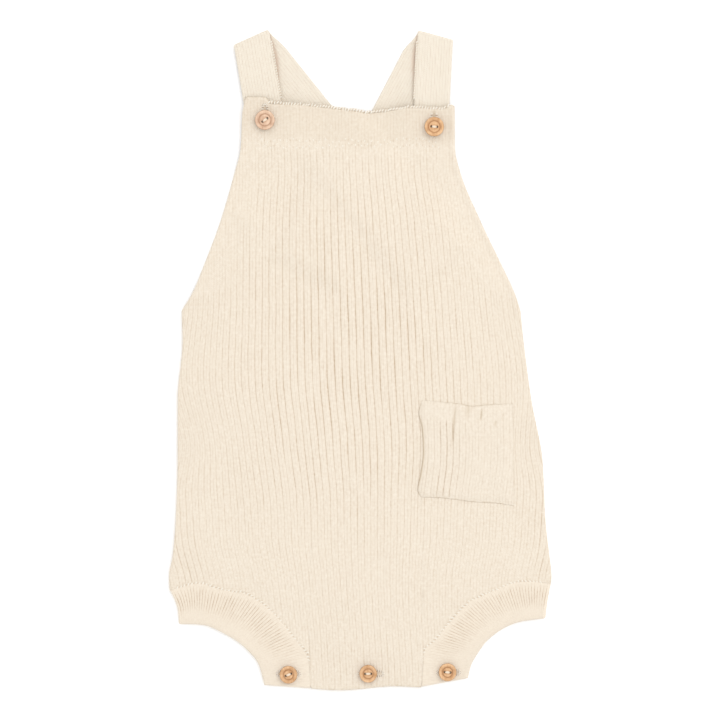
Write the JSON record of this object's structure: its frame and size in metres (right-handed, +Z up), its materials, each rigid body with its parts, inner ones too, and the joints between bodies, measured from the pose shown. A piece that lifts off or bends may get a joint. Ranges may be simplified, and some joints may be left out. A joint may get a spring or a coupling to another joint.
{
  "type": "knit overalls",
  "caption": "Sleeveless knitted baby overalls laid flat: ribbed body with a bib, shoulder straps that button in front, a patch pocket, ribbed leg bands and a buttoned crotch.",
  "frame": {"origin": "middle of the underside, on the surface that the garment lies on", "axes": "+X to the viewer's right across the garment, +Y from the crotch to the shoulders, +Z up from the surface, out of the garment's front"},
  "size_m": [0.229, 0.3958, 0.0087],
  "materials": {
    "body_knit": "matt cream cotton, ribbed knit",
    "pocket_knit": "matt cream cotton, ribbed knit",
    "strap_knit": "matt cream cotton, plain knit",
    "band_knit": "matt cream cotton, fine ribbed knit",
    "button_wood": "satin turned wood"
  },
  "bodies": {
    "root": {"back_panel": "body_knit", "front_panel": "body_knit", "pocket": "pocket_knit", "strap_left": "strap_knit", "strap_right": "strap_knit", "leg_band_left": "band_knit", "leg_band_right": "band_knit", "button_strap_left": "button_wood", "button_strap_right": "button_wood", "button_crotch_left": "button_wood", "button_crotch_middle": "button_wood", "button_crotch_right": "button_wood"}
  },
  "joints": []
}
